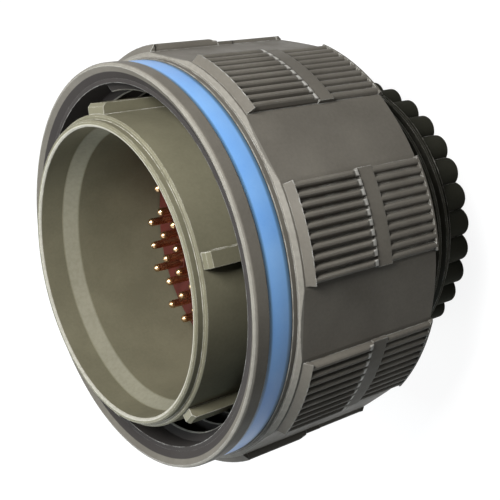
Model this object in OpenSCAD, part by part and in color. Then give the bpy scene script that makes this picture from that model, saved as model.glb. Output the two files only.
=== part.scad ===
// Threaded circular connector plug with pin contacts.
// It stands on its rear end: +Z runs along the axis from the wire side to the mating face,
// and the origin is the centre of the rear end.

/* [Shell] */
// Length of the shell from the rear end to the front lip
shell_len = 30.75; // [29.5:0.25:33]
// Radius of the bore round the pins
bore_r = 12.1; // [11.6:0.1:12.8]
// Radial step from the bore up to the wider mouth
mouth_step = 0.55; // [0.4:0.05:0.8]
// Depth of the wider mouth
mouth_depth = 2.35; // [1.8:0.05:3]
// Length of the cone between the mouth and the bore
mouth_taper = 1.5; // [1:0.1:2]
// Wall of the front lip
lip_wall = 0.55; // [0.4:0.05:0.8]
// Length of the front lip, ahead of the keys
lip_len = 0.65; // [0.4:0.05:1]
// Radial step from the lip out to the barrel
lip_step = 0.4; // [0.2:0.05:0.6]
// Radial step in at the seat of the inserts
seat_step = 0.7; // [0.4:0.05:1]
// Wall from the rear bore out to the crest of the accessory thread
rear_wall = 2.6; // [2.3:0.05:3]
// Length of the accessory thread
thread_len = 6; // [5:0.1:7]
// Depth of the neck between the accessory thread and the hub
neck_depth = 0.8; // [0.4:0.05:1]
// Length of that neck
neck_len = 0.8; // [0.5:0.05:1.2]
// Radial step from the accessory thread out to the hub that the nut turns on
hub_step = 0.5; // [0.3:0.05:0.8]
// Thickness of the flange
flange_t = 1.9; // [1.5:0.1:2.4]
// Number of ratchet teeth round the flange
ratchet_teeth = 60; // [36:4:72]
// Depth of the ratchet teeth
ratchet_depth = 0.3; // [0.2:0.05:0.4]

/* [Scalloped rear ring] */
// Number of lobes
lobe_count = 32; // [24:1:36]
// Radius of each lobe
lobe_r = 1.35; // [1:0.05:1.5]
// Axial length of the lobes
lobe_len = 2.8; // [2:0.1:3.4]
// Drop from the accessory thread's crest to the lobes' tips
lobe_drop = 0.55; // [0.4:0.05:1]
// Turn of the lobes
lobe_turn = 8.4; // [0:0.1:12]

/* [Keys] */
// Height of the keys above the barrel
key_h = 0.9; // [0.6:0.05:1.1]
// Width of the main key
main_key_w = 2.6; // [2:0.1:3.2]
// Width of the four small keys
small_key_w = 1.3; // [1:0.1:1.6]
// Length of the keys
key_len = 9; // [7:0.5:11]
// Bevel at the front end of the keys
key_bevel = 0.3; // [0.1:0.05:0.5]
// Turn of the main key and of the pin pattern
key_turn = -13.5; // [-45:0.5:45]

/* [Coupling nut] */
// Length of the nut
nut_len = 19.3; // [18:0.1:20]
// Radial gap between the barrel and the root of the coupling thread
coupling_gap = 2.4; // [2.1:0.05:2.8]
// Wall of the collar
collar_wall = 1.75; // [1.5:0.05:2.2]
// Length of the collar
collar_len = 4.1; // [3.9:0.1:5]
// Depth of the conical lead-in at the front
lead_in = 0.65; // [0.4:0.05:0.9]
// Radial step from the collar out to the body
body_step = 0.48; // [0.3:0.02:0.7]
// Depth of the eight flats, measured at their middle
flat_depth = 0.23; // [0.15:0.01:0.3]
// Thickness of the web that turns on the hub
web_t = 2.1; // [1.6:0.1:2.4]
// Length of the skirt behind the web
skirt_len = 2.1; // [1.6:0.1:2.6]

/* [Blue band] */
// Distance from the nut's front to the band
band_from = 1.35; // [1:0.05:1.6]
// Width of the band
band_w = 2.3; // [1.6:0.1:2.4]
// Depth of the band's groove
band_groove = 0.5; // [0.3:0.05:0.7]
// Distance of the band below the collar's surface
band_sunk = 0.1; // [0.05:0.01:0.15]

/* [Grip pads] */
// Turn of the pads and flats
pad_turn = -2; // [-22:0.5:22]
// Width of a pad, in degrees
pad_angle = 25; // [23:0.5:30]
// Height of the front step of the pads above the body
front_pad_h = 0.65; // [0.5:0.01:0.9]
// Height of the rear step of the pads above the body
rear_pad_h = 0.36; // [0.25:0.01:0.45]
// Distance from the front of the body to the pads
pad_setback = 0.5; // [0.3:0.05:0.8]
// Length of the slanted front of the pads
pad_slant = 0.55; // [0.3:0.05:0.8]
// Length of the front ribs
front_rib_len = 6.7; // [6:0.05:7.3]
// Number of front ribs on a pad
front_ribs = 10; // [8:1:13]
// Number of rear ribs on a pad
rear_ribs = 10; // [7:1:12]
// Plain margin beside the ribs, in degrees
rib_margin = 0.25; // [0.2:0.05:0.6]
// Share of the spacing that a rib takes at its foot
rib_share = 0.85; // [0.6:0.05:0.9]
// Length over which the front ribs run down at their rear ends
rib_run = 0.8; // [0.4:0.05:1.2]
// Drop of the front ribs over that length
rib_drop = 0.2; // [0.1:0.01:0.25]
// Depth of the front grooves
front_groove = 0.45; // [0.3:0.01:0.5]
// Depth of the rear grooves
rear_groove = 0.3; // [0.15:0.01:0.32]
// Plain land between the front and rear ribs
pad_land = 1.6; // [1:0.1:2]
// Plain border behind the rear ribs
pad_border = 0.65; // [0.5:0.05:1.2]

/* [Inserts] */
// Thickness of the front insert
front_insert_t = 3; // [2.5:0.1:3.5]
// Thickness of the interfacial seal
seal_t = 0.7; // [0.5:0.05:1]
// Height of the raised barrier round each pin
barrier_h = 0.7; // [0.4:0.05:0.9]
// Gap between neighbouring barriers
barrier_gap = 0.3; // [0.2:0.05:0.5]
// Width of a barrier's flat top round its hole
barrier_top = 0.3; // [0.2:0.05:0.4]
// Thickness of the clip wafer
wafer_t = 3; // [2.6:0.1:3.4]
// Thickness of the rear insert
rear_insert_t = 3; // [2.5:0.1:3.5]
// Distance from the rear end to the rear grommet
grommet_recess = 1.2; // [0.6:0.1:2]

/* [Contacts] */
// Spacing of the contacts
pitch = 2.27; // [2.2:0.01:2.5]
// Radius of the pins
pin_r = 0.38; // [0.3:0.01:0.45]
// Length of pin that stands clear of the seal
pin_exposed = 3.8; // [3:0.1:5]
// Radius of the contact's body
contact_r = 0.58; // [0.52:0.01:0.6]
// Height of the contact's collar above its body
contact_collar = 0.2; // [0.15:0.01:0.22]
// Length of the contact's collar
contact_collar_len = 0.75; // [0.5:0.05:0.9]
// Distance from the contact's seat to its collar
contact_neck = 1.35; // [1:0.05:1.5]
// Length of the contact behind its seat
contact_tail = 9.5; // [8:0.1:10.5]
// Radius of the wire bore in the contact's tail
wire_r = 0.43; // [0.3:0.01:0.46]
// Depth of that wire bore
wire_depth = 4; // [3:0.1:5]
// Thickness of the retention clips
clip_t = 0.12; // [0.08:0.01:0.14]

/* [Rings and springs] */
// Thickness of the retaining ring
ring_t = 1; // [0.8:0.05:1.2]
// Depth of the retaining ring's groove in the hub
ring_groove = 1.1; // [0.8:0.05:1.3]
// Height of the retaining ring above the hub
ring_proud = 1.2; // [0.9:0.05:1.4]
// Length of hub behind the retaining ring
ring_land = 0.8; // [0.5:0.05:1.2]
// Thickness of the wave washer
washer_t = 0.3; // [0.2:0.02:0.4]
// Height of the peripheral seal
gasket_t = 0.8; // [0.5:0.05:1.1]
// Width of the peripheral seal
gasket_w = 1.3; // [1:0.05:1.5]
// Length of the ground spring
ground_len = 2.6; // [2:0.1:3]
// Length of the ground spring's plain foot
ground_foot = 0.8; // [0.5:0.05:1]
// Distance that the ground spring's fingers lean out
ground_lean = 0.4; // [0.2:0.05:0.6]
// Thickness of the ground spring
ground_t = 0.3; // [0.2:0.02:0.4]
// Number of fingers on the ground spring
ground_fingers = 24; // [16:2:32]
// Thickness of the ratchet springs
ratchet_t = 0.3; // [0.2:0.02:0.35]
// Arc that each ratchet spring takes, in degrees
ratchet_arc = 40; // [30:1:60]

/* [Fits] */
// Radial clearance of the nut's web on the hub
running_fit = 0.07; // [0.04:0.01:0.1]
// Axial play beside the nut's web
axial_play = 0.06; // [0.04:0.01:0.1]
// Clearance between pieces that are pushed into each other
slip_fit = 0.03; // [0.02:0.01:0.05]
// Clearance between the flange and the coupling thread's root
ratchet_gap = 0.4; // [0.3:0.05:0.6]
// Clearance between the ratchet springs' noses and the teeth
nose_gap = 0.12; // [0.08:0.01:0.2]
// Clearance between the retaining ring and the nut's skirt
ring_room = 0.4; // [0.3:0.05:0.6]
// Clearance between the keys and the ground spring
key_gap = 0.2; // [0.1:0.05:0.4]

/* [Hidden] */
$fn = 96;
hole_fn = 24;
edge = 0.15;
arc_steps = 8;
overlap = 0.2;
pad_count = 8;
pad_pitch = 360 / pad_count;
key_angles = [80, 142, 196, 293];
spring_count = 3;
row_count = 9;
row_reach = 5;
pattern_limit = 13.5;
clip_angle = 330;
ring_gap_angle = 14;
recess_room = 2;
rib_steps = 6;
rib_power = 3;
rim_mid = 0.6 * edge;
lead_step = 0.6 * lead_in;
dome_step = 30;

mouth_r = bore_r + mouth_step;
lip_r = mouth_r + lip_wall;
barrel_r = lip_r + lip_step;
key_r = barrel_r + key_h;
rear_bore_r = bore_r - seat_step;
thread_r = rear_bore_r + rear_wall;
neck_r = thread_r - neck_depth;
hub_r = thread_r + hub_step;
skirt_r = hub_r + ring_proud + ring_room;
coupling_r = barrel_r + coupling_gap;
flange_r = coupling_r - ratchet_gap;
recess_r = coupling_r + 3 * ratchet_t;
lobe_ring_r = thread_r - lobe_drop - lobe_r;
collar_r = coupling_r + collar_wall;
body_r = collar_r + body_step;
front_pad_r = body_r + front_pad_h;
rear_pad_r = body_r + rear_pad_h;
front_groove_r = front_pad_r - front_groove;
rear_groove_r = rear_pad_r - rear_groove;
pad_root_r = body_r - collar_wall / 2;

neck_z = lobe_len + thread_len;
hub_z = neck_z + neck_len;
ring_z = hub_z + ring_land;
web_z = ring_z + ring_t + axial_play;
web_top = web_z + web_t;
washer_z = web_top + axial_play;
flange_z = washer_z + washer_t + axial_play;
flange_top = flange_z + flange_t;
seat_z = flange_z;
lip_z = shell_len - lip_len;
mouth_z = shell_len - mouth_depth;
taper_z = mouth_z - mouth_taper;
key_top = lip_z - 2 * edge;
nut_z = web_z - skirt_len;
nut_top = nut_z + nut_len;
collar_z = nut_top - collar_len;
slant_z = collar_z - pad_setback - pad_slant;
front_rib_z = slant_z - front_rib_len;
land_z = front_rib_z - pad_land;
border_z = nut_z + pad_border;
pad_z = nut_z + edge;

insert_r = bore_r - slip_fit;
rear_insert_r = rear_bore_r - slip_fit;
seal_z = seat_z + front_insert_t;
seal_top = seal_z + seal_t;
pin_tip = seal_top + pin_exposed;
wafer_z = seat_z - wafer_t;
rear_insert_z = wafer_z - rear_insert_t;
tail_z = seat_z - contact_tail;
collar_head = seat_z - contact_neck;
collar_foot = collar_head - contact_collar_len;
clip_r = contact_r + contact_collar + slip_fit;
cavity_r = clip_r + clip_t + slip_fit;
barrier_r = (pitch - barrier_gap) / 2;

olive = [0.36, 0.34, 0.27];
blue = [0.28, 0.52, 0.82];
gold = [0.83, 0.62, 0.25];
seal_red = [0.42, 0.12, 0.08];
insert_grey = [0.2, 0.2, 0.2];
steel = [0.62, 0.62, 0.6];
rubber_black = [0.08, 0.08, 0.08];

contact_rows = [for (i = [1:row_count]) str("contact_row_", i)];
ratchet_springs = [for (i = [1:spring_count]) str("ratchet_spring_", i)];

// Point at a radius and an angle
function polar(r, a) = [r * cos(a), r * sin(a)];

// Places of the contacts in one row of the close-packed pattern, kept inside a circle
function row_spots(row) =
    let (
        column = row - (row_count + 1) / 2,
        side = column * sqrt(3) / 2,
        shift = abs(column) % 2 / 2
    )
    [for (k = [-row_reach:row_reach]) let (along = k + shift)
        if (along * along + side * side < pattern_limit) [along * pitch, side * pitch]];

// Places of all the contacts
spots = [for (row = [1:row_count]) each row_spots(row)];

// Outline of a pad with rounded ribs across its width, as a sector that reaches into the body
function ribbed_sector(top_r, groove_r, ribs) =
    let (
        span = pad_angle - 2 * rib_margin,
        step = span / (ribs - 1 + rib_share)
    )
    concat(
        [polar(pad_root_r, -span / 2)],
        [for (i = [0:ribs - 1], j = [0:rib_steps])
            let (
                across = j / rib_steps,
                fall = pow(abs(2 * across - 1), rib_power)
            )
            polar(top_r - (top_r - groove_r) * fall, (i + rib_share * across) * step - span / 2)],
        [polar(pad_root_r, span / 2)]
    );

// Outline of a plain pad
function plain_sector(top_r) =
    concat(
        [polar(pad_root_r, -pad_angle / 2)],
        [for (i = [0:arc_steps]) polar(top_r, pad_angle * (i / arc_steps - 0.5))],
        [polar(pad_root_r, pad_angle / 2)]
    );

// Plain ring between two radii
module tube(r_in, r_out, z, h) {
    translate([0, 0, z])
        difference() {
            cylinder(r = r_out, h = h);
            translate([0, 0, -overlap]) cylinder(r = r_in, h = h + 2 * overlap);
        }
}

// Copies of a child at every place of the pin pattern
module at_spots(places) {
    rotate(key_turn)
        for (spot = places)
            translate([spot.x, spot.y, 0]) children();
}

// Copies of a pad's outline round the nut, from z up to a height
module pad_ring(points, z, h) {
    translate([0, 0, z])
        linear_extrude(h)
            for (i = [0:pad_count - 1])
                rotate(i * pad_pitch) polygon(points);
}

// Key on the barrel, with a bevelled nose behind the step of the front lip, cut clear of the ground spring
module key(width) {
    difference() {
        rotate([90, 0, 0])
            linear_extrude(width, center = true)
                polygon([
                    [0, key_top - key_len],
                    [key_r, key_top - key_len],
                    [key_r, key_top - key_bevel],
                    [key_r - key_bevel, key_top],
                    [0, key_top]
                ]);
        tube(barrel_r - overlap, key_r + overlap, flange_top, gasket_t + ground_len + key_gap);
    }
}

// Section of the turned outside of the shell, without the lobes, flange and keys
module shell_section() {
    polygon([
        [0, 0],
        [lobe_ring_r, 0],
        [lobe_ring_r, lobe_len],
        [thread_r - 2 * edge, lobe_len],
        [thread_r, lobe_len + 2 * edge],
        [thread_r, neck_z - 2 * edge],
        [thread_r - 2 * edge, neck_z],
        [neck_r, neck_z],
        [neck_r, hub_z],
        [hub_r - edge, hub_z],
        [hub_r, hub_z + edge],
        [hub_r, ring_z],
        [hub_r - ring_groove, ring_z],
        [hub_r - ring_groove, ring_z + ring_t],
        [hub_r, ring_z + ring_t],
        [hub_r, flange_top - edge],
        [barrel_r, flange_top - edge],
        [barrel_r, lip_z - edge],
        [barrel_r - edge, lip_z],
        [lip_r, lip_z],
        [lip_r, shell_len - edge],
        [lip_r - edge, shell_len],
        [0, shell_len]
    ]);
}

// Section of the inside of the shell: rear bore, seat, bore round the pins, cone and mouth
module shell_bore_section() {
    polygon([
        [0, -overlap],
        [rear_bore_r, -overlap],
        [rear_bore_r, seat_z],
        [bore_r, seat_z],
        [bore_r, taper_z],
        [mouth_r, mouth_z],
        [mouth_r, shell_len - edge],
        [mouth_r + edge + overlap, shell_len + overlap],
        [0, shell_len + overlap]
    ]);
}

// Flange with ratchet teeth
module ratchet_flange() {
    tooth = 360 / ratchet_teeth;
    outline = [for (i = [0:ratchet_teeth - 1]) each [
        polar(flange_r - ratchet_depth, i * tooth),
        polar(flange_r, (i + 0.5) * tooth)
    ]];
    translate([0, 0, flange_z])
        linear_extrude(flange_t) polygon(outline);
}

module plug_shell() {
    color(olive) {
        difference() {
            union() {
                rotate_extrude() shell_section();
                linear_extrude(lobe_len)
                    for (i = [0:lobe_count - 1])
                        rotate(lobe_turn + i * 360 / lobe_count)
                            translate([lobe_ring_r, 0]) circle(r = lobe_r, $fn = hole_fn);
                ratchet_flange();
                rotate(key_turn) {
                    key(main_key_w);
                    for (a = key_angles)
                        rotate(-a) key(small_key_w);
                }
            }
            rotate_extrude() shell_bore_section();
        }
    }
}

// Section of the nut's bore: lead-in, threaded bore, web and skirt
module nut_bore_section() {
    polygon([
        [0, nut_z - overlap],
        [skirt_r, nut_z - overlap],
        [skirt_r, web_z],
        [hub_r + running_fit, web_z],
        [hub_r + running_fit, web_top],
        [coupling_r, web_top],
        [coupling_r, nut_top - lead_in],
        [coupling_r + lead_step, nut_top - lead_in],
        [collar_r - 2 * edge, nut_top],
        [collar_r - 2 * edge, nut_top + overlap],
        [0, nut_top + overlap]
    ]);
}

// Section of the collar, with the groove of the blue band
module collar_section() {
    polygon([
        [coupling_r - edge, collar_z - overlap],
        [collar_r, collar_z - overlap],
        [collar_r, nut_top - band_from - band_w],
        [collar_r - band_groove, nut_top - band_from - band_w],
        [collar_r - band_groove, nut_top - band_from],
        [collar_r, nut_top - band_from],
        [collar_r, nut_top - 2 * edge],
        [collar_r - rim_mid, nut_top - rim_mid],
        [collar_r - 2 * edge, nut_top],
        [coupling_r - edge, nut_top]
    ]);
}

// Body with its eight flats, bevelled at both ends
module nut_body() {
    intersection() {
        translate([0, 0, nut_z])
            linear_extrude(collar_z - nut_z)
                intersection() {
                    circle(r = body_r);
                    circle(r = (body_r - flat_depth) / cos(pad_pitch / 2), $fn = pad_count);
                }
        rotate_extrude()
            polygon([
                [0, nut_z],
                [body_r - 3 * edge, nut_z],
                [body_r, nut_z + 3 * edge],
                [body_r, collar_z - 2 * edge],
                [body_r - 2 * edge, collar_z],
                [0, collar_z]
            ]);
    }
}

// Grip pads: slanted plain front, high ribs that run down to a plain land, low ribs and plain border
module nut_pads() {
    intersection() {
        union() {
            pad_ring(plain_sector(front_pad_r), slant_z, pad_slant);
            pad_ring(ribbed_sector(front_pad_r, front_groove_r, front_ribs), front_rib_z, front_rib_len);
        }
        rotate_extrude()
            polygon([
                [0, front_rib_z],
                [front_pad_r - rib_drop, front_rib_z],
                [front_pad_r, front_rib_z + rib_run],
                [front_pad_r, slant_z],
                [body_r, slant_z + pad_slant],
                [0, slant_z + pad_slant]
            ]);
    }
    pad_ring(plain_sector(rear_pad_r), land_z, pad_land);
    pad_ring(ribbed_sector(rear_pad_r, rear_groove_r, rear_ribs), border_z, land_z - border_z);
    intersection() {
        pad_ring(plain_sector(rear_pad_r), pad_z, border_z - pad_z);
        translate([0, 0, pad_z])
            cylinder(r1 = rear_pad_r - 2 * edge, r2 = rear_pad_r + overlap, h = border_z - pad_z);
    }
}

// Recesses in the nut for the ratchet springs
module ratchet_recesses() {
    for (i = [0:spring_count - 1])
        rotate(i * 360 / spring_count)
            translate([0, 0, flange_z])
                rotate(-ratchet_arc / 2 - recess_room)
                    rotate_extrude(angle = ratchet_arc + 2 * recess_room)
                        translate([coupling_r - overlap, 0])
                            square([recess_r - coupling_r + overlap, flange_t]);
}

module coupling_nut() {
    color(olive)
        difference() {
            union() {
                rotate_extrude() collar_section();
                rotate(pad_turn) {
                    nut_body();
                    nut_pads();
                }
            }
            rotate_extrude() nut_bore_section();
            ratchet_recesses();
        }
}

module blue_band() {
    color(blue)
        tube(collar_r - band_groove, collar_r - band_sunk, nut_top - band_from - band_w, band_w);
}

module front_insert() {
    color(insert_grey)
        difference() {
            translate([0, 0, seat_z]) cylinder(r = insert_r, h = front_insert_t);
            at_spots(spots)
                translate([0, 0, seat_z - overlap])
                    cylinder(r = pin_r + slip_fit, h = front_insert_t + 2 * overlap, $fn = hole_fn);
        }
}

module interfacial_seal() {
    color(seal_red)
        difference() {
            union() {
                translate([0, 0, seal_z]) cylinder(r = insert_r, h = seal_t);
                at_spots(spots)
                    translate([0, 0, seal_top - overlap])
                        cylinder(
                            r1 = barrier_r,
                            r2 = pin_r + barrier_top,
                            h = barrier_h + overlap,
                            $fn = hole_fn
                        );
            }
            at_spots(spots)
                translate([0, 0, seal_z - overlap])
                    cylinder(r = pin_r + slip_fit, h = seal_t + barrier_h + 2 * overlap, $fn = hole_fn);
        }
}

// Disc with a hole for each contact
module drilled_disc(r, z, h, hole_r) {
    difference() {
        translate([0, 0, z]) cylinder(r = r, h = h);
        at_spots(spots)
            translate([0, 0, z - overlap]) cylinder(r = hole_r, h = h + 2 * overlap, $fn = hole_fn);
    }
}

module clip_wafer() {
    color(insert_grey) drilled_disc(rear_insert_r, wafer_z, wafer_t, cavity_r);
}

module rear_insert() {
    color(insert_grey) drilled_disc(rear_insert_r, rear_insert_z, rear_insert_t, contact_r + slip_fit);
}

module rear_grommet() {
    color(seal_red)
        drilled_disc(rear_insert_r, grommet_recess, rear_insert_z - grommet_recess, contact_r + slip_fit);
}

// Split clip that grips a contact behind its collar
module clip() {
    rotate_extrude(angle = clip_angle, $fn = hole_fn)
        polygon([
            [contact_r + slip_fit, wafer_z],
            [clip_r + clip_t, wafer_z],
            [clip_r + clip_t, seat_z],
            [clip_r, seat_z],
            [clip_r, collar_foot],
            [contact_r + slip_fit, collar_foot]
        ]);
}

module retention_clips() {
    color(steel) at_spots(spots) clip();
}

// Turned contact: domed pin, seat, collar and crimp tail with its wire bore
module contact() {
    dome = [for (a = [0:dome_step:90]) [pin_r * cos(a), pin_tip - pin_r * (1 - sin(a))]];
    rotate_extrude($fn = hole_fn)
        polygon(concat([
            [0, tail_z + wire_depth + wire_r / 2],
            [wire_r, tail_z + wire_depth],
            [wire_r, tail_z],
            [contact_r, tail_z],
            [contact_r, collar_foot],
            [contact_r + contact_collar, collar_foot],
            [contact_r + contact_collar, collar_head],
            [contact_r, collar_head],
            [contact_r, seat_z],
            [pin_r, seat_z]
        ], dome));
}

module contact_row(row) {
    color(gold) at_spots(row_spots(row)) contact();
}

module peripheral_seal() {
    color(rubber_black) tube(barrel_r + slip_fit, barrel_r + gasket_w, flange_top, gasket_t);
}

// Ground spring: a plain foot, and fingers that lean out from it
module ground_spring() {
    foot_z = flange_top + gasket_t;
    foot_top = foot_z + ground_foot;
    crest_z = foot_z + (ground_foot + ground_len) / 2;
    in_r = barrel_r + slip_fit;
    finger = 360 / ground_fingers;
    color(steel)
        difference() {
            rotate_extrude()
                polygon([
                    [in_r, foot_z],
                    [in_r + ground_t, foot_z],
                    [in_r + ground_t, foot_top],
                    [in_r + ground_t + ground_lean, crest_z],
                    [in_r + ground_t, foot_z + ground_len],
                    [in_r, foot_z + ground_len],
                    [in_r + ground_lean, crest_z],
                    [in_r, foot_top]
                ]);
            for (i = [0:ground_fingers - 1])
                rotate((i + 0.5) * finger)
                    translate([in_r - overlap, -ground_t / 2, foot_top])
                        cube([ground_t + ground_lean + 2 * overlap, ground_t, ground_len]);
        }
}

module wave_washer() {
    color(steel) tube(hub_r + running_fit, flange_r - ratchet_depth - 2 * edge, washer_z, washer_t);
}

module retaining_ring() {
    color(steel)
        rotate(90 + ring_gap_angle / 2)
            rotate_extrude(angle = 360 - ring_gap_angle)
                translate([hub_r - ring_groove + slip_fit, ring_z])
                    square([ring_groove - slip_fit + ring_proud, ring_t]);
}

// Leaf spring in the nut's recess, with a nose that reaches towards the ratchet teeth
module ratchet_spring(index) {
    leaf_r = recess_r - ratchet_t - slip_fit;
    nose_r = flange_r + nose_gap;
    color(steel)
        rotate((index - 1) * 360 / spring_count)
            translate([0, 0, flange_z + slip_fit]) {
                rotate(-ratchet_arc / 2)
                    rotate_extrude(angle = ratchet_arc)
                        translate([leaf_r, 0]) square([ratchet_t, flange_t - 2 * slip_fit]);
                linear_extrude(flange_t - 2 * slip_fit)
                    polygon([
                        [nose_r, 0],
                        [leaf_r + ratchet_t / 2, -2 * ratchet_t],
                        [leaf_r + ratchet_t / 2, 2 * ratchet_t]
                    ]);
            }
}

plug_shell();
coupling_nut();
blue_band();
front_insert();
interfacial_seal();
clip_wafer();
retention_clips();
rear_insert();
rear_grommet();
ground_spring();
peripheral_seal();
wave_washer();
retaining_ring();
for (i = [1:spring_count])
    ratchet_spring(i);
for (i = [1:row_count])
    contact_row(i);
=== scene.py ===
"""Dresses the circular connector plug: plated metal, paint, rubber, gold and threads, in a white studio."""

import logging
import math
from abc import ABC, abstractmethod
from dataclasses import dataclass
from enum import Enum
from typing import Callable, Iterable, Union

import bpy
from mathutils import Matrix, Vector


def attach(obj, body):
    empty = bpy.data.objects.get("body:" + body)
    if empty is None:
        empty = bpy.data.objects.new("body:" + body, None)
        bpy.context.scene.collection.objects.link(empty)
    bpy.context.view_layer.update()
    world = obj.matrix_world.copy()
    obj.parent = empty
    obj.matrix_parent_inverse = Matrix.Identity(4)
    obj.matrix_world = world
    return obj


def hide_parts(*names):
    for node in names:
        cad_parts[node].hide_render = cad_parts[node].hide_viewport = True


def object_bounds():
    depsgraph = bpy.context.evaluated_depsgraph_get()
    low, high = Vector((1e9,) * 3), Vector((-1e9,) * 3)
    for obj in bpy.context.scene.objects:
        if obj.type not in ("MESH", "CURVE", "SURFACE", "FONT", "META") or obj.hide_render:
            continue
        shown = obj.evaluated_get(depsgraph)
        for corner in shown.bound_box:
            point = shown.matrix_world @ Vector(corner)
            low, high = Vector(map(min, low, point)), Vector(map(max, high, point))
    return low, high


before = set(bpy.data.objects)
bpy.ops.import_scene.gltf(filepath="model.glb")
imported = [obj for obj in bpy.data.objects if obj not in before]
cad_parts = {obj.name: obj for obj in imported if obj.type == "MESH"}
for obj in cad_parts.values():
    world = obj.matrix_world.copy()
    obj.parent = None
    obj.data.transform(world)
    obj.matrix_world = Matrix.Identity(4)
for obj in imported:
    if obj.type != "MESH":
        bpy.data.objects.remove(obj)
CAD_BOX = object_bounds()

MM = 0.001
MERGE = 1e-7
FULL_TURN = 2 * math.pi
# Middle of a noise texture's values
MID_NOISE = 0.5
# Rays that a node casts to find edges or corners
EDGE_SAMPLES = 6
LOG = logging.getLogger("connector_plug")

Socket = bpy.types.NodeSocket
Triple = tuple[float, float, float]
Colour = tuple[float, float, float, float]
Value = Union[float, Triple, Colour, Socket]
Inputs = dict[Union[str, int], Value]
WHITE: Colour = (1, 1, 1, 1)


class Body(Enum):
    """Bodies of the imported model."""

    SHELL = "shell"
    NUT = "nut"


class Slot(Enum):
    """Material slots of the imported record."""

    SHELL = "shell"
    NUT = "nut"
    BAND = "band"


class Graph:
    """Adds nodes to one node tree and links them."""

    def __init__(self, tree: bpy.types.NodeTree) -> None:
        """Keeps the tree that the nodes go into."""
        self.tree = tree

    def feed(self, target: Socket, value: Value) -> None:
        """Gives an input its value.

        Args:
            target: The input.
            value: A plain value, or the socket that is linked to the input.
        """
        if isinstance(value, Socket):
            self.tree.links.new(value, target)
        else:
            target.default_value = value

    def node(self, kind: str, inputs: Inputs | None = None, **settings: object) -> bpy.types.Node:
        """Adds a node.

        Args:
            kind: Blender's name of the node type.
            inputs: Values or sockets for the node's inputs, by name or place.
            settings: The node's own properties.

        Returns:
            The new node.
        """
        made = self.tree.nodes.new(kind)
        for key, value in settings.items():
            setattr(made, key, value)
        for key, value in (inputs or {}).items():
            self.feed(made.inputs[key], value)
        return made

    def effect(self, group: bpy.types.NodeTree, **values: float) -> Socket:
        """Places a shared effect.

        Args:
            group: The effect.
            values: Values for the effect's inputs.

        Returns:
            The effect's output socket.
        """
        return self.node("ShaderNodeGroup", dict(values), node_tree=group).outputs[0]

    def math(self, operation: str, first: Value, second: Value = 0.0) -> Socket:
        """Adds a Math node.

        Args:
            operation: The operation's name.
            first: First value or socket.
            second: Second value or socket.

        Returns:
            The socket of the result.
        """
        return self.node("ShaderNodeMath", {0: first, 1: second}, operation=operation).outputs[0]

    def mix(self, factor: Value, first: Value, second: Value) -> Socket:
        """Mixes two colours.

        Args:
            factor: Share of the second colour.
            first: First colour or socket.
            second: Second colour or socket.

        Returns:
            The socket of the mixed colour.
        """
        # The Mix node has sockets for every data type: inputs 6 and 7 and output 2 are the colours.
        return self.node("ShaderNodeMix", {0: factor, 6: first, 7: second}, data_type="RGBA").outputs[2]

    def noise(self, vector: Socket, scale: Value, detail: float) -> Socket:
        """Adds a noise texture.

        Args:
            vector: Coordinates.
            scale: Features per metre.
            detail: Number of finer octaves.

        Returns:
            The socket of the noise's value.
        """
        inputs = {"Vector": vector, "Scale": scale, "Detail": detail}
        return self.node("ShaderNodeTexNoise", inputs).outputs[0]

    def ramp(self, value: Socket, low: Value, high: Value,
             to_low: Value = 0.0, to_high: Value = 1.0) -> Socket:
        """Maps a value from one range to another, clamped.

        Args:
            value: The value's socket.
            low: Start of the range.
            high: End of the range.
            to_low: Result at the start.
            to_high: Result at the end.

        Returns:
            The socket of the result.
        """
        inputs = {0: value, 1: low, 2: high, 3: to_low, 4: to_high}
        return self.node("ShaderNodeMapRange", inputs).outputs[0]

    def bump(self, height: Socket, strength: float, distance: float, under: Socket | None = None) -> Socket:
        """Turns a height into a normal.

        Args:
            height: Socket of the height.
            strength: Strength of the bumps.
            distance: Height of the bumps, in millimetres.
            under: Socket of the normal that the bumps lie on, if any.

        Returns:
            The socket of the normal.
        """
        inputs = {"Height": height, "Strength": strength, "Distance": distance * MM}
        if under is not None:
            inputs["Normal"] = under
        return self.node("ShaderNodeBump", inputs).outputs[0]

    def place(self) -> Socket:
        """Returns the socket of the piece's own coordinates, in metres."""
        return self.node("ShaderNodeTexCoord").outputs["Object"]

    def turned_place(self) -> tuple[Socket, Socket]:
        """Works out where a point is on a turned piece.

        Returns:
            The sockets of the distance from the axis and of the height, in metres.
        """
        x, y, height = self.node("ShaderNodeSeparateXYZ", {0: self.place()}).outputs
        square = self.math("ADD", self.math("MULTIPLY", x, x), self.math("MULTIPLY", y, y))
        return self.math("SQRT", square), height


class EffectGraph(Graph):
    """A shader node group with float inputs and one float output."""

    def __init__(self, name: str, inputs: dict[str, float], output: str) -> None:
        """Starts the group with its sockets.

        Args:
            name: Name of the group.
            inputs: Names and defaults of the inputs.
            output: Name of the output.
        """
        super().__init__(bpy.data.node_groups.new(name, "ShaderNodeTree"))
        sockets = self.tree.interface
        for key, value in inputs.items():
            sockets.new_socket(key, in_out="INPUT", socket_type="NodeSocketFloat").default_value = value
        sockets.new_socket(output, in_out="OUTPUT", socket_type="NodeSocketFloat")
        self.given = self.node("NodeGroupInput").outputs
        self.result = self.node("NodeGroupOutput").inputs[output]

    def put_out(self, value: Socket) -> bpy.types.NodeTree:
        """Ends the group.

        Args:
            value: The socket that the group puts out.

        Returns:
            The group's tree.
        """
        self.feed(self.result, value)
        return self.tree


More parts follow.
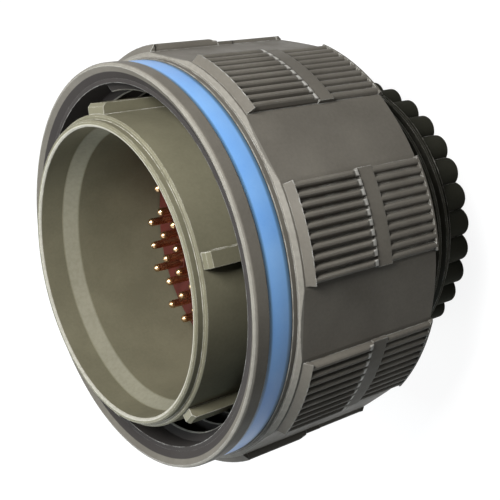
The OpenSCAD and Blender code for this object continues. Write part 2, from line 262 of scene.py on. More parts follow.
class Effects:
    """Shader node groups that several finishes use, each built once."""

    def __init__(self) -> None:
        """Builds the groups."""
        self.mottle = self._mottle()
        self.lathe_lines = self._lathe_lines()
        self.edge_wear_and_highlight = self._edge_wear_and_highlight()
        self.corners = self._corner_shade()
        self.zone = self._zone()

    @staticmethod
    def _mottle() -> bpy.types.NodeTree:
        """Builds soft patches, broken up by fine speckle.

        Returns:
            The group, which puts out a mask.
        """
        group = EffectGraph("mottle", {"Patches": 220.0, "Speckle": 4200.0, "Fine": 0.35}, "Mask")
        place = group.place()
        patches = group.noise(place, group.given["Patches"], detail=4.0)
        speckle = group.noise(place, group.given["Speckle"], detail=2.0)
        share = group.math("MULTIPLY", group.math("SUBTRACT", speckle, MID_NOISE), group.given["Fine"])
        return group.put_out(group.ramp(group.math("ADD", patches, share), low=0.3, high=0.7))

    @staticmethod
    def _lathe_lines() -> bpy.types.NodeTree:
        """Builds fine turned lines round the axis.

        Returns:
            The group, which puts out a height.
        """
        group = EffectGraph("lathe_lines", {"Lines": 5200.0}, "Height")
        radius, height = group.turned_place()
        profile = group.node("ShaderNodeCombineXYZ", {0: radius, 2: height})
        return group.put_out(group.noise(profile.outputs[0], group.given["Lines"], detail=1.0))

    @staticmethod
    def _edge_wear_and_highlight() -> bpy.types.NodeTree:
        """Builds outer edges, abraded unevenly and lightened as painted highlights.

        Returns:
            The group, which puts out a mask.
        """
        group = EffectGraph("edge_wear_and_highlight", {"Radius": 0.15 * MM, "Amount": 1.0}, "Mask")
        rounded = group.node("ShaderNodeBevel", {"Radius": group.given["Radius"]}, samples=EDGE_SAMPLES)
        plain = group.node("ShaderNodeNewGeometry")
        normals = {0: rounded.outputs[0], 1: plain.outputs["Normal"]}
        facing = group.node("ShaderNodeVectorMath", normals, operation="DOT_PRODUCT")
        edge = group.ramp(facing.outputs["Value"], low=0.965, high=0.8)
        rubbed_and_highlit = group.ramp(group.noise(group.place(), scale=900.0, detail=4.0), low=0.32, high=0.62)
        mask = group.math("MULTIPLY", edge, rubbed_and_highlit)
        return group.put_out(group.math("MULTIPLY", mask, group.given["Amount"]))

    @staticmethod
    def _corner_shade() -> bpy.types.NodeTree:
        """Builds painted shade: a mask of grooves and creases, found by ambient occlusion.

        Returns:
            The group, which puts out a mask.
        """
        group = EffectGraph("corners", {"Reach": 0.7 * MM, "Amount": 1.0}, "Mask")
        reach = {"Distance": group.given["Reach"]}
        openness = group.node("ShaderNodeAmbientOcclusion", reach, samples=EDGE_SAMPLES).outputs["AO"]
        mask = group.ramp(openness, low=0.75, high=0.2)
        return group.put_out(group.math("MULTIPLY", mask, group.given["Amount"]))

    @staticmethod
    def _zone() -> bpy.types.NodeTree:
        """Builds one stretch of a turned piece, by height and radius.

        Returns:
            The group, which puts out a mask.
        """
        limits = {"Low": 0.0, "High": 1.0, "Inner": 0.0, "Outer": 1.0}
        group = EffectGraph("zone", {**limits, "Soft": 0.1 * MM}, "Mask")
        soft = group.given["Soft"]
        radius, height = group.turned_place()
        masks = []
        for value, low, high in ((height, "Low", "High"), (radius, "Inner", "Outer")):
            start = group.given[low]
            end = group.given[high]
            rise = group.ramp(value, start, group.math("ADD", start, soft))
            fall = group.ramp(value, end, group.math("SUBTRACT", end, soft))
            masks.append(group.math("MULTIPLY", rise, fall))
        return group.put_out(group.math("MULTIPLY", *masks))


def new_material(name: str) -> tuple[bpy.types.Material, Graph]:
    """Starts a material.

    Args:
        name: Name of the material.

    Returns:
        The material and its empty graph.
    """
    material = bpy.data.materials.new(name)
    material.use_nodes = True
    material.node_tree.nodes.clear()
    return material, Graph(material.node_tree)


@dataclass(frozen=True)
class Zone:
    """Stretch of a turned piece that has a shade of its own. Sizes are in millimetres."""

    low: float
    high: float
    inner: float
    outer: float
    colour: Colour
    share: float
    soft: float = 0.15

    def mask(self, graph: Graph, effects: Effects) -> Socket:
        """Places the zone in a material.

        Args:
            graph: Graph of the material.
            effects: The shared effects.

        Returns:
            The socket of the zone's mask.
        """
        heights = {"Low": self.low * MM, "High": self.high * MM}
        radii = {"Inner": self.inner * MM, "Outer": self.outer * MM}
        mask = graph.effect(effects.zone, **heights, **radii, Soft=self.soft * MM)
        return graph.math("MULTIPLY", mask, self.share)


@dataclass(frozen=True)
class Finish(ABC):
    """A finish of two tones in soft patches."""

    name: str
    light: Colour
    dark: Colour

    @abstractmethod
    def shade(self, graph: Graph, effects: Effects) -> Inputs:
        """Adds the finish's nodes to its material.

        Args:
            graph: Graph of the material.
            effects: The shared effects.

        Returns:
            Values and sockets for the inputs of the Principled shader.
        """

    def make(self, effects: Effects) -> bpy.types.Material:
        """Makes the material, or finds it where an earlier piece has it.

        Args:
            effects: The shared effects.

        Returns:
            The material.
        """
        if self.name in bpy.data.materials:
            return bpy.data.materials[self.name]
        material, graph = new_material(self.name)
        shader = graph.node("ShaderNodeBsdfPrincipled", self.shade(graph, effects))
        graph.node("ShaderNodeOutputMaterial", {"Surface": shader.outputs[0]})
        return material

    def tones(self, graph: Graph, effects: Effects, **mottle: float) -> Socket:
        """Mixes the two tones.

        Args:
            graph: Graph of the material.
            effects: The shared effects.
            mottle: Values for the patches.

        Returns:
            The socket of the colour.
        """
        return graph.mix(graph.effect(effects.mottle, **mottle), self.dark, self.light)

    @staticmethod
    def gloss(graph: Graph, effects: Effects, dullest: float, glossiest: float, **mottle: float) -> Socket:
        """Makes the roughness uneven.

        Args:
            graph: Graph of the material.
            effects: The shared effects.
            dullest: Highest roughness.
            glossiest: Lowest roughness.
            mottle: Values for the patches.

        Returns:
            The socket of the roughness.
        """
        patches = graph.effect(effects.mottle, **mottle)
        return graph.ramp(patches, low=0.0, high=1.0, to_low=dullest, to_high=glossiest)


@dataclass(frozen=True)
class PlatedMetal(Finish):
    """Satin olive plating on turned metal, with abraded edges, painted highlights and painted shade."""

    worn_and_highlit: Colour
    corner_shade_colour: Colour
    wear_and_highlight: float
    specular: float
    roughness: float
    painted_shade_zones: tuple[Zone, ...]
    rubbed_and_highlit: tuple[Zone, ...]
    spread: float = 0.07
    corner_shade_share: float = 0.5
    edge_round: float = 0.1

    def shade(self, graph: Graph, effects: Effects) -> Inputs:
        """Adds the plating's nodes.

        Args:
            graph: Graph of the material.
            effects: The shared effects.

        Returns:
            Values and sockets for the shader's inputs.
        """
        colour = self.tones(graph, effects)
        # Painted shade: grooves and creases darkened by ambient occlusion.
        colour = graph.mix(graph.effect(effects.corners, Amount=self.corner_shade_share), colour, self.corner_shade_colour)
        rough = self.gloss(graph, effects, self.roughness + self.spread, self.roughness - self.spread,
                           Patches=420.0, Speckle=9000.0)
        # Painted shade: zones darkened as if in shadow, and made rougher.
        for zone in self.painted_shade_zones:
            mask = zone.mask(graph, effects)
            colour = graph.mix(mask, colour, zone.colour)
            rough = graph.math("MAXIMUM", rough, mask)
        # Outer edges lightened: partly abrasion, partly a painted highlight along rims and chamfers.
        colour = graph.mix(graph.effect(effects.edge_wear_and_highlight, Amount=self.wear_and_highlight), colour, self.worn_and_highlit)
        # Painted highlights: lighter zones on rims, bevels, thread crests, rib ends and the mouth taper.
        highlight_patches = graph.noise(graph.place(), scale=2600.0, detail=2.0)
        uneven = graph.ramp(highlight_patches, low=0.35, high=0.6, to_low=0.75, to_high=1.0)
        for zone in self.rubbed_and_highlit:
            mask = graph.math("MULTIPLY", zone.mask(graph, effects), uneven)
            colour = graph.mix(mask, colour, zone.colour)
        rounded = graph.node("ShaderNodeBevel", {"Radius": self.edge_round * MM}, samples=EDGE_SAMPLES)
        lines = graph.bump(graph.effect(effects.lathe_lines), strength=0.12, distance=0.02,
                           under=rounded.outputs[0])
        grain = graph.noise(graph.place(), scale=14000.0, detail=2.0)
        return {
            "Base Color": colour,
            "Roughness": rough,
            "Specular IOR Level": self.specular,
            "Normal": graph.bump(grain, strength=0.1, distance=0.01, under=lines),
        }


@dataclass(frozen=True)
class GlossPaint(Finish):
    """Thick gloss paint in a turned groove, with painted shade along its edges and a faint orange peel."""

    edge_shade: tuple[Zone, ...]
    dullest: float = 0.42
    glossiest: float = 0.34

    def shade(self, graph: Graph, effects: Effects) -> Inputs:
        """Adds the paint's nodes.

        Args:
            graph: Graph of the material.
            effects: The shared effects.

        Returns:
            Values and sockets for the shader's inputs.
        """
        colour = self.tones(graph, effects, Patches=160.0, Fine=0.12)
        # Painted shade: darker blue along both edges of the band.
        for zone in self.edge_shade:
            colour = graph.mix(zone.mask(graph, effects), colour, zone.colour)
        rough = self.gloss(graph, effects, self.dullest, self.glossiest, Patches=300.0, Speckle=6000.0)
        peel = graph.noise(graph.place(), scale=1500.0, detail=2.0)
        return {
            "Base Color": colour,
            "Roughness": rough,
            "Normal": graph.bump(peel, strength=0.12, distance=0.04),
        }


@dataclass(frozen=True)
class Moulded(Finish):
    """Moulded rubber or plastic with a soft grain and painted shade in its creases."""

    roughness: float
    grain: float
    spread: float = 0.08

    def shade(self, graph: Graph, effects: Effects) -> Inputs:
        """Adds the moulded surface's nodes.

        Args:
            graph: Graph of the material.
            effects: The shared effects.

        Returns:
            Values and sockets for the shader's inputs.
        """
        colour = self.tones(graph, effects, Patches=350.0)
        # Painted shade: creases darkened by ambient occlusion.
        corners = graph.effect(effects.corners, Reach=0.5 * MM, Amount=0.5)
        rough = self.gloss(graph, effects, self.roughness + self.spread, self.roughness - self.spread,
                           Patches=500.0, Speckle=7000.0)
        pores = graph.noise(graph.place(), scale=7000.0, detail=3.0)
        return {
            "Base Color": graph.mix(corners, colour, self.dark),
            "Roughness": rough,
            "Normal": graph.bump(pores, strength=self.grain, distance=0.03),
        }


@dataclass(frozen=True)
class BrightMetal(Finish):
    """Bare or gold-plated metal with fine turned lines and slight tarnish."""

    roughness: float
    tarnish: float = 0.08
    polish: float = 0.05

    def shade(self, graph: Graph, effects: Effects) -> Inputs:
        """Adds the metal's nodes.

        Args:
            graph: Graph of the material.
            effects: The shared effects.

        Returns:
            Values and sockets for the shader's inputs.
        """
        colour = self.tones(graph, effects, Patches=700.0)
        # Painted shade: creases darkened by ambient occlusion.
        corners = graph.effect(effects.corners, Reach=0.3 * MM, Amount=0.6)
        rough = self.gloss(graph, effects, self.roughness + self.tarnish, self.roughness - self.polish,
                           Patches=900.0, Speckle=9000.0)
        lines = graph.effect(effects.lathe_lines, Lines=12000.0)
        return {
            "Base Color": graph.mix(corners, colour, self.dark),
            "Roughness": rough,
            "Metallic": 1.0,
            "Normal": graph.bump(lines, strength=0.1, distance=0.01),
        }


# Colour of painted highlights on rims, bevels and crests.
PAINTED_HIGHLIGHT: Colour = (0.5, 0.48, 0.42, 1)
# Painted shade: the inside of the nut and the inner lead-in, darkened as if in shadow.
NUT_INSIDE = Zone(
    low=13.5, high=28.5, inner=0.0, outer=17.0, colour=(0.026, 0.023, 0.024, 1), share=0.85, soft=0.06,
)
# Painted highlight: bright rear ends of the front ribs on the pads.
RIB_ENDS = Zone(
    low=16.75, high=17.35, inner=18.6, outer=19.5, colour=(0.8, 0.78, 0.72, 1), share=0.9,
)
# Painted highlight on the crests of the coupling thread.
COUPLING_CRESTS = Zone(
    low=16.0, high=28.0, inner=15.0, outer=15.4, colour=PAINTED_HIGHLIGHT, share=0.6, soft=0.05,
)
# Painted highlight along the nut's front rim.
FRONT_RIM_EDGE = Zone(
    low=28.4, high=29.0, inner=17.4, outer=18.0, colour=PAINTED_HIGHLIGHT, share=0.2, soft=0.05,
)
# Painted highlight along the nut body's front bevel.
COLLAR_REAR_EDGE = Zone(
    low=24.2, high=24.7, inner=17.8, outer=18.3, colour=PAINTED_HIGHLIGHT, share=0.25, soft=0.05,
)
NUT_PLATE = PlatedMetal(
    name="nut_plate",
    light=(0.15, 0.138, 0.116, 1),
    dark=(0.118, 0.108, 0.091, 1),
    worn_and_highlit=(0.5, 0.5, 0.47, 1),
    corner_shade_colour=(0.045, 0.041, 0.035, 1),
    wear_and_highlight=0.8,
    specular=0.06,
    roughness=0.5,
    painted_shade_zones=(NUT_INSIDE,),
    rubbed_and_highlit=(RIB_ENDS, COUPLING_CRESTS, FRONT_RIM_EDGE, COLLAR_REAR_EDGE),
)

# Painted shade: the rear lobes, darkened as if unlit.
REAR_LOBES = Zone(
    low=-1.0, high=2.9, inner=0.0, outer=20.0, colour=(0.02, 0.021, 0.017, 1), share=0.85,
)
# Painted shade: the accessory thread, darkened as if in the nut's shadow.
ACCESSORY_THREAD = Zone(
    low=2.7, high=9.5, inner=0.0, outer=20.0, colour=(0.05, 0.049, 0.042, 1), share=0.8,
)
# Painted highlight on the taper inside the shell's mouth.
MOUTH_TAPER = Zone(
    low=26.9, high=28.4, inner=12.05, outer=12.7, colour=(0.3, 0.29, 0.23, 1), share=0.5, soft=0.12,
)
# Painted highlight along the shell's lip.
LIP_EDGE = Zone(
    low=30.5, high=31.0, inner=12.5, outer=12.9, colour=PAINTED_HIGHLIGHT, share=0.65, soft=0.06,
)
SHELL_PLATE = PlatedMetal(
    name="shell_plate",
    light=(0.165, 0.155, 0.105, 1),
    dark=(0.13, 0.122, 0.082, 1),
    worn_and_highlit=(0.66, 0.64, 0.58, 1),
    corner_shade_colour=(0.03, 0.028, 0.019, 1),
    wear_and_highlight=0.95,
    specular=0.08,
    roughness=0.48,
    painted_shade_zones=(REAR_LOBES, ACCESSORY_THREAD),
    rubbed_and_highlit=(MOUTH_TAPER, LIP_EDGE),
)

# Colour of the painted shade along the band's edges.
BAND_EDGE_SHADE: Colour = (0.035, 0.1, 0.17, 1)
BAND_REAR_EDGE = Zone(
    low=24.5, high=25.45, inner=17.0, outer=18.0, colour=BAND_EDGE_SHADE, share=0.9, soft=0.2,
)
BAND_FRONT_EDGE = Zone(
    low=26.87, high=27.8, inner=17.0, outer=18.0, colour=BAND_EDGE_SHADE, share=0.9, soft=0.2,
)
BAND_PAINT = GlossPaint(
    name="band_paint",
    light=(0.18, 0.38, 0.7, 1),
    dark=(0.1, 0.28, 0.64, 1),
    edge_shade=(BAND_REAR_EDGE, BAND_FRONT_EDGE),
)

SEAL_RUBBER = Moulded(
    "seal_rubber", light=(0.13, 0.024, 0.017, 1), dark=(0.07, 0.014, 0.011, 1), roughness=0.55, grain=0.15,
)
GROMMET_RUBBER = Moulded(
    "grommet_rubber", light=(0.19, 0.03, 0.018, 1), dark=(0.12, 0.02, 0.013, 1), roughness=0.6, grain=0.2,
)
GASKET_RUBBER = Moulded(
    "gasket_rubber", light=(0.03, 0.03, 0.03, 1), dark=(0.016, 0.016, 0.016, 1), roughness=0.6, grain=0.2,
)
INSERT_PLASTIC = Moulded(
    "insert_plastic", light=(0.05, 0.05, 0.048, 1), dark=(0.03, 0.03, 0.029, 1), roughness=0.5, grain=0.15,
)
SPRING_STEEL = BrightMetal(
    "spring_steel", light=(0.62, 0.61, 0.58, 1), dark=(0.4, 0.39, 0.36, 1), roughness=0.28,
)
CONTACT_GOLD = BrightMetal(
    "contact_gold", light=(0.82, 0.57, 0.33, 1), dark=(0.42, 0.24, 0.12, 1), roughness=0.24,
)


def deselect_all() -> None:
    """Leaves nothing selected and no object active, in object mode."""
    if bpy.context.object and bpy.context.object.mode != "OBJECT":
        bpy.ops.object.mode_set(mode="OBJECT")
    bpy.ops.object.select_all(action="DESELECT")
    bpy.context.view_layer.objects.active = None


def activate(*pieces: bpy.types.Object) -> None:
    """Makes some objects the only ones selected, and the first one active.

    Args:
        pieces: The objects.
    """
    deselect_all()
    for piece in pieces:
        piece.select_set(True)
    bpy.context.view_layer.objects.active = pieces[0]


def apply_modifier(piece: bpy.types.Object, kind: str, **settings: object) -> None:
    """Adds a modifier and applies it.

    Args:
        piece: The object.
        kind: Type of the modifier.
        settings: The modifier's properties.
    """
    activate(piece)
    modifier = piece.modifiers.new(kind.lower(), kind)
    for key, value in settings.items():
        setattr(modifier, key, value)
    bpy.ops.object.modifier_apply(modifier=modifier.name)


def edit_vertices(piece: bpy.types.Object) -> None:
    """Opens a piece in edit mode with all its vertices selected.

    Args:
        piece: The object.
    """
    activate(piece)
    bpy.ops.object.mode_set(mode="EDIT")
    bpy.ops.mesh.select_mode(type="VERT")
    bpy.ops.mesh.select_all(action="SELECT")


def select_vertices(piece: bpy.types.Object, wanted: Callable[[Vector], bool]) -> None:
    """Selects the vertices of a piece in edit mode by their place.

    Args:
        piece: The object, in edit mode.
        wanted: Says whether a place is wanted.
    """
    bpy.ops.mesh.select_all(action="DESELECT")
    bpy.ops.object.mode_set(mode="OBJECT")
    for vertex in piece.data.vertices:
        vertex.select = wanted(vertex.co)
    bpy.ops.object.mode_set(mode="EDIT")


def merge_doubles(piece: bpy.types.Object) -> None:
    """Opens a piece in edit mode and merges its double vertices."""
    edit_vertices(piece)
    bpy.ops.mesh.remove_doubles(threshold=MERGE)


def close_mesh(piece: bpy.types.Object, open_ends: bool) -> None:
    """Merges doubles, fills open ends and turns the faces outwards.

    Args:
        piece: The object.
        open_ends: Whether the turned profile left two ends to fill.
    """
    merge_doubles(piece)
    if open_ends:
        bpy.ops.mesh.select_all(action="DESELECT")
        bpy.ops.mesh.select_non_manifold(extend=False, use_wire=False, use_multi_face=False,
                                         use_non_contiguous=False, use_verts=False)
        bpy.ops.mesh.fill()
    bpy.ops.mesh.select_all(action="SELECT")
    bpy.ops.mesh.normals_make_consistent(inside=False)
    bpy.ops.object.mode_set(mode="OBJECT")


def smooth(piece: bpy.types.Object, angle: float) -> None:
    """Shades a piece smooth up to an angle, in degrees."""
    activate(piece)
    bpy.ops.object.shade_smooth_by_angle(angle=math.radians(angle))


def profile_plane(name: str, radius: float, height: float, depth: float, width: float) -> bpy.types.Object:
    """Adds a rectangle in a plane through the axis, for turning. Sizes are in millimetres.

    Args:
        name: Name of the object.
        radius: Distance of its middle from the axis.
        height: Height of its middle.
        depth: Radial size.
        width: Axial size.

    Returns:
        The object, with its place in its mesh.
    """
    deselect_all()
    upright = (math.pi / 2, 0, 0)
    bpy.ops.mesh.primitive_plane_add(size=1, location=(radius * MM, 0, height * MM), rotation=upright)
    piece = bpy.context.object
    piece.name = name
    piece.scale = (depth * MM, width * MM, 1)
    bpy.ops.object.transform_apply(location=True, rotation=True, scale=True)
    return piece


def nodes_named(start: str) -> list[str]:
    """Returns the names of the CAD nodes that begin with the same words."""
    return [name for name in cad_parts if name.startswith(start)]


def dress(names: Iterable[str], material: bpy.types.Material) -> None:
    """Gives CAD nodes a material.

    Args:
        names: Names of the nodes.
        material: The material.
    """
    for name in names:
        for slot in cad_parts[name].material_slots:
            slot.material = material
        LOG.info("dressed %s with %s", name, material.name)


def finish_piece(piece: bpy.types.Object, material: bpy.types.Material, body: Body) -> None:
    """Gives a new piece its material and body.

    Args:
        piece: The object.
        material: The material.
        body: The body that it rides on.
    """
    piece.data.materials.clear()
    piece.data.materials.append(material)
    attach(piece, body.value)
    LOG.info("built %s with %d faces", piece.name, len(piece.data.polygons))


@dataclass(frozen=True)
class HelicalBar:
    """A bar that winds round the axis, wide outside and narrow inside. Sizes are in millimetres."""

    inner: float
    depth: float
    start: float
    foot: float
    tip: float
    lead: float
    turns: float
    turn_steps: int
    tip_round: float = 0.0
    round_segments: int = 2

    def build(self, name: str) -> bpy.types.Object:
        """Models the bar.

        Args:
            name: Name of the object.

        Returns:
            The bar's object.
        """
        middle = self.inner + self.depth / 2
        bar = profile_plane(name, middle, self.start, self.depth, self.foot)
        edit_vertices(bar)
        select_vertices(bar, lambda co: co.x < middle * MM)
        bpy.ops.transform.resize(value=(1, 1, self.tip / self.foot))
        if self.tip_round:
            bpy.ops.mesh.bevel(offset=self.tip_round * MM, segments=self.round_segments, affect="VERTICES")
        bpy.ops.mesh.select_all(action="SELECT")
        bpy.ops.mesh.delete(type="ONLY_FACE")
        bpy.ops.object.mode_set(mode="OBJECT")
        steps = int(self.turns * self.turn_steps)
        apply_modifier(bar, "SCREW", axis="Z", angle=self.turns * FULL_TURN,
                       screw_offset=self.turns * self.lead * MM, steps=steps, render_steps=steps,
                       use_merge_vertices=False)
        close_mesh(bar, open_ends=True)
        return bar


@dataclass
class ShellAssembly:
    """The keyed shell with its accessory thread, and the rings round it. Sizes are in millimetres."""

    thread_from: float = 2.8
    thread_to: float = 8.8
    thread_crest: float = 14.0
    thread_depth: float = 0.55
    thread_pitch: float = 1.0
    thread_runout: float = 0.3
    groove_mouth: float = 0.9
    groove_root: float = 0.09
    cutter_rise: float = 0.2
    turn_steps: int = 96
    smooth_angle: float = 18.0

    def build_thread_cutter(self) -> bpy.types.Object:
        """Models the helical groove of the accessory thread, which runs out in the neck behind the hub.

        Returns:
            The cutter's object.
        """
        start = self.thread_from - self.thread_pitch / 2
        groove = HelicalBar(
            inner=self.thread_crest - self.thread_depth,
            depth=self.thread_depth + self.cutter_rise,
            start=start,
            foot=self.groove_mouth,
            tip=self.groove_root,
            lead=self.thread_pitch,
            turns=(self.thread_to + self.thread_runout - start) / self.thread_pitch,
            turn_steps=self.turn_steps,
        )
        return groove.build("thread_cutter")

    def build(self) -> bpy.types.Object:
        """Models the shell with its accessory thread cut into it.

        Returns:
            The threaded shell.
        """
        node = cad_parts["plug_shell"]
        shell = node.copy()
        shell.data = node.data.copy()
        # The copy is a piece of its own, so it drops the node's properties and parent.
        for key in list(shell.keys()):
            del shell[key]
        shell.parent = None
        shell.name = "threaded_shell"
        bpy.context.scene.collection.objects.link(shell)
        merge_doubles(shell)
        bpy.ops.object.mode_set(mode="OBJECT")
        cutter = self.build_thread_cutter()
        apply_modifier(shell, "BOOLEAN", operation="DIFFERENCE", solver="EXACT", object=cutter)
        bpy.data.objects.remove(cutter)
        activate(shell)
        bpy.ops.mesh.customdata_custom_splitnormals_clear()
        smooth(shell, self.smooth_angle)
        return shell

    def dress(self, effects: Effects) -> None:
        """Builds the shell and dresses it and the rings round it.

        Args:
            effects: The shared effects.
        """
        shell = self.build()
        finish_piece(shell, SHELL_PLATE.make(effects), Body.SHELL)
        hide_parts("plug_shell")
        dress(["ground_spring", "wave_washer", "retaining_ring"], SPRING_STEEL.make(effects))
        dress(["peripheral_seal"], GASKET_RUBBER.make(effects))


@dataclass
class NutAssembly:
    """The coupling nut with its thread, blue band and ratchet springs. Sizes are in millimetres."""

    thread_root: float = 16.0
    thread_depth: float = 0.7
    thread_sunk: float = 0.15
    thread_from: float = 16.5
    thread_to: float = 27.6
    thread_lead: float = 7.62
    thread_starts: int = 3
    ridge_foot: float = 1.1
    ridge_crest: float = 0.25
    ridge_round: float = 0.12
    band_inner: float = 17.25
    band_outer: float = 17.66
    band_from: float = 25.01
    band_to: float = 27.31
    band_round: float = 0.1
    band_segments: int = 4
    turn_steps: int = 128
    smooth_angle: float = 40.0

    def build_ridge(self) -> bpy.types.Object:
        """Models one start of the coupling thread.

        Returns:
            The ridge's object.
        """
        ridge = HelicalBar(
            inner=self.thread_root - self.thread_depth,
            depth=self.thread_depth + self.thread_sunk,
            start=self.thread_from + self.ridge_foot / 2,
            foot=self.ridge_foot,
            tip=self.ridge_crest,
            lead=self.thread_lead,
            turns=(self.thread_to - self.thread_from - self.ridge_foot) / self.thread_lead,
            turn_steps=self.turn_steps,
            tip_round=self.ridge_round,
        )
        return ridge.build("coupling_thread")

    def build_thread(self) -> bpy.types.Object:
        """Models the coupling thread from its starts.

        Returns:
            The thread's object.
        """
        ridge = self.build_ridge()
        copies = []
        for start in range(1, self.thread_starts):
            activate(ridge)
            bpy.ops.object.duplicate()
            copy = bpy.context.object
            copy.data.transform(Matrix.Rotation(start * FULL_TURN / self.thread_starts, 4, "Z"))
            copies.append(copy)
        activate(ridge, *copies)
        bpy.ops.object.join()
        smooth(ridge, self.smooth_angle)
        return ridge

    def build_band(self) -> bpy.types.Object:
        """Models the painted band, with rounded edges.

        Returns:
            The band's object.
        """
        middle = (self.band_inner + self.band_outer) / 2
        height = (self.band_from + self.band_to) / 2
        band = profile_plane("paint_band", middle, height, self.band_outer - self.band_inner,
                             self.band_to - self.band_from)
        edit_vertices(band)
        select_vertices(band, lambda co: co.x > middle * MM)
        bpy.ops.mesh.bevel(offset=self.band_round * MM, segments=self.band_segments, affect="VERTICES")
        bpy.ops.mesh.select_all(action="SELECT")
        bpy.ops.mesh.delete(type="ONLY_FACE")
        bpy.ops.mesh.select_all(action="SELECT")
        bpy.ops.mesh.spin(steps=2 * self.turn_steps, angle=FULL_TURN, center=(0, 0, 0), axis=(0, 0, 1))
        bpy.ops.object.mode_set(mode="OBJECT")
        close_mesh(band, open_ends=False)
        smooth(band, self.smooth_angle)
        return band

    def dress(self, effects: Effects) -> None:
        """Builds the thread and the band, and dresses them, the nut and its springs.

        Args:
            effects: The shared effects.
        """
        plate = NUT_PLATE.make(effects)
        finish_piece(self.build_thread(), plate, Body.NUT)
        band = self.build_band()
        finish_piece(band, BAND_PAINT.make(effects), Body.NUT)
        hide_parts("blue_band")
        dress(["coupling_nut"], plate)
        dress(nodes_named("ratchet_spring"), SPRING_STEEL.make(effects))


@dataclass
class InsertAssembly:
    """The inserts, seal and grommet that hold the contacts."""

    plastic: tuple[str, ...] = ("front_insert", "clip_wafer", "rear_insert")

    def dress(self, effects: Effects) -> None:
        """Dresses the inserts, the rubber, the clips and the contacts.

        Args:
            effects: The shared effects.
        """
        dress(self.plastic, INSERT_PLASTIC.make(effects))
        dress(["interfacial_seal"], SEAL_RUBBER.make(effects))
        dress(["rear_grommet"], GROMMET_RUBBER.make(effects))
        dress(["retention_clips"], SPRING_STEEL.make(effects))
        dress(nodes_named("contact_row"), CONTACT_GOLD.make(effects))


@dataclass(frozen=True)
class PhotoCamera:
    """The camera at the photograph's viewing angle. Angles are in degrees, places in metres."""

    place: Triple = (-0.000864, -0.07574, 0.06973)
    elevation: float = 35.54
    roll: float = -104.0
    lens: float = 71.06
    nearest: float = 0.001

    def axes(self) -> Matrix:
        """Works out the camera's turn.

        Returns:
            A matrix with right, up and back as columns.
        """
        tilt = Matrix.Rotation(math.radians(90 - self.elevation), 3, "X")
        return tilt @ Matrix.Rotation(math.radians(self.roll), 3, "Z")

    def build(self) -> None:
        """Adds the camera and makes it the scene's own."""
        data = bpy.data.cameras.new("photo_camera")
        data.lens = self.lens
        data.clip_start = self.nearest
        camera = bpy.data.objects.new("photo_camera", data)
        camera.matrix_world = Matrix.Translation(self.place) @ self.axes().to_4x4()
        bpy.context.scene.collection.objects.link(camera)
        bpy.context.scene.camera = camera
        LOG.info("placed the camera")


@dataclass(frozen=True)
class SoftLight:
    """One area light, set by its direction from the part in the camera's axes. Lengths are in metres."""

    name: str
    right: float
    up: float
    back: float
    distance: float
    size: float
    power: float
    colour: Triple = (1.0, 1.0, 1.0)

    def build(self, axes: Matrix, target: Vector) -> None:
        """Adds the light.

        Args:
            axes: The camera's axes.
            target: The point that it shines at.
        """
        direction = (axes @ Vector((self.right, self.up, self.back))).normalized()
        data = bpy.data.lights.new(self.name, "AREA")
        data.energy = self.power
        data.size = self.size
        data.color = self.colour
        light = bpy.data.objects.new(self.name, data)
        light.location = target + direction * self.distance
        light.rotation_euler = direction.to_track_quat("Z", "Y").to_euler()
        bpy.context.scene.collection.objects.link(light)


LIGHTS = (
    SoftLight("key_light", right=-0.43, up=0.27, back=0.86, distance=0.105, size=0.04, power=0.165),
    SoftLight("front_light", right=-0.95, up=-0.1, back=0.3, distance=0.2, size=0.06, power=0.15,
              colour=(0.82, 0.93, 1.0)),
    SoftLight("low_light", right=-0.3, up=-0.93, back=0.2, distance=0.2, size=0.08, power=0.075,
              colour=(0.7, 0.87, 1.0)),
    SoftLight("far_light", right=-0.71, up=-0.59, back=-0.39, distance=0.2, size=0.1, power=0.2),
)


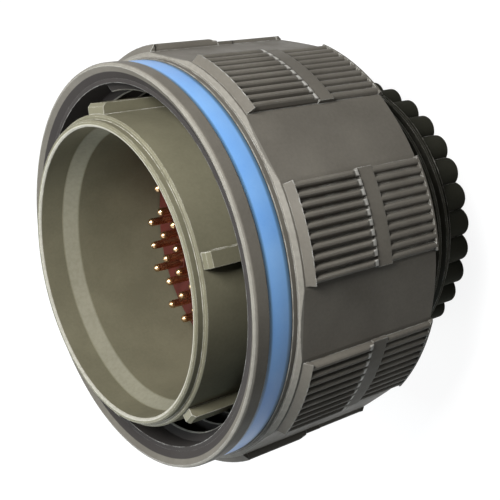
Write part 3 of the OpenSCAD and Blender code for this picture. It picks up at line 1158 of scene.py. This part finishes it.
@dataclass(frozen=True)
class Studio:
    """White floor, white surroundings and soft light. Lengths are in metres."""

    floor_size: float = 3.0
    floor_gap: float = 0.02 * MM
    floor_shade: Colour = (0.2, 0.2, 0.2, 1)
    floor_white: float = 0.88
    ambient: float = 0.05

    @staticmethod
    def seen_directly(graph: Graph) -> Socket:
        """Finds the rays that show the background: camera, glossy and transmission rays.

        Args:
            graph: Graph of the material or world.

        Returns:
            The socket of a mask that is 1 for those rays.
        """
        path = graph.node("ShaderNodeLightPath").outputs
        direct = graph.math("MAXIMUM", path["Is Camera Ray"], path["Is Glossy Ray"])
        return graph.math("MAXIMUM", direct, path["Is Transmission Ray"])

    def build_floor(self) -> None:
        """Adds the floor, white to the camera and with the part's shadow on it."""
        deselect_all()
        bpy.ops.mesh.primitive_plane_add(size=self.floor_size, location=(0, 0, -self.floor_gap))
        floor = bpy.context.object
        floor.name = "studio_floor"
        material, graph = new_material("studio_floor")
        shade = graph.node("ShaderNodeBsdfDiffuse", {"Color": self.floor_shade})
        strength = graph.math("MULTIPLY", self.seen_directly(graph), self.floor_white)
        glow = graph.node("ShaderNodeEmission", {"Color": WHITE, "Strength": strength})
        both = graph.node("ShaderNodeAddShader", {0: shade.outputs[0], 1: glow.outputs[0]})
        graph.node("ShaderNodeOutputMaterial", {"Surface": both.outputs[0]})
        floor.data.materials.append(material)

    def build_world(self) -> None:
        """Sets the surroundings: white where seen, and a plain soft light on the part."""
        world = bpy.data.worlds.new("studio_world")
        bpy.context.scene.world = world
        world.use_nodes = True
        world.node_tree.nodes.clear()
        graph = Graph(world.node_tree)
        seen = self.seen_directly(graph)
        strength = graph.ramp(seen, low=0.0, high=1.0, to_low=self.ambient, to_high=1.0)
        sky = graph.node("ShaderNodeBackground", {"Color": WHITE, "Strength": strength})
        graph.node("ShaderNodeOutputWorld", {"Surface": sky.outputs[0]})

    def build(self, camera: PhotoCamera) -> None:
        """Builds the floor, surroundings and lights.

        Args:
            camera: The camera that the lights are set by.
        """
        bpy.context.scene.view_settings.view_transform = "Standard"
        self.build_floor()
        self.build_world()
        target = (CAD_BOX[0] + CAD_BOX[1]) / 2
        for light in LIGHTS:
            light.build(camera.axes(), target)
        LOG.info("built the studio")


def main() -> None:
    """Places the camera, builds and dresses the plug, and sets up the studio round it."""
    logging.basicConfig(level=logging.INFO, format="%(name)s: %(message)s")
    camera = PhotoCamera()
    camera.build()
    effects = Effects()
    ShellAssembly().dress(effects)
    NutAssembly().dress(effects)
    InsertAssembly().dress(effects)
    Studio().build(camera)


if __name__ == "__main__":
    main()
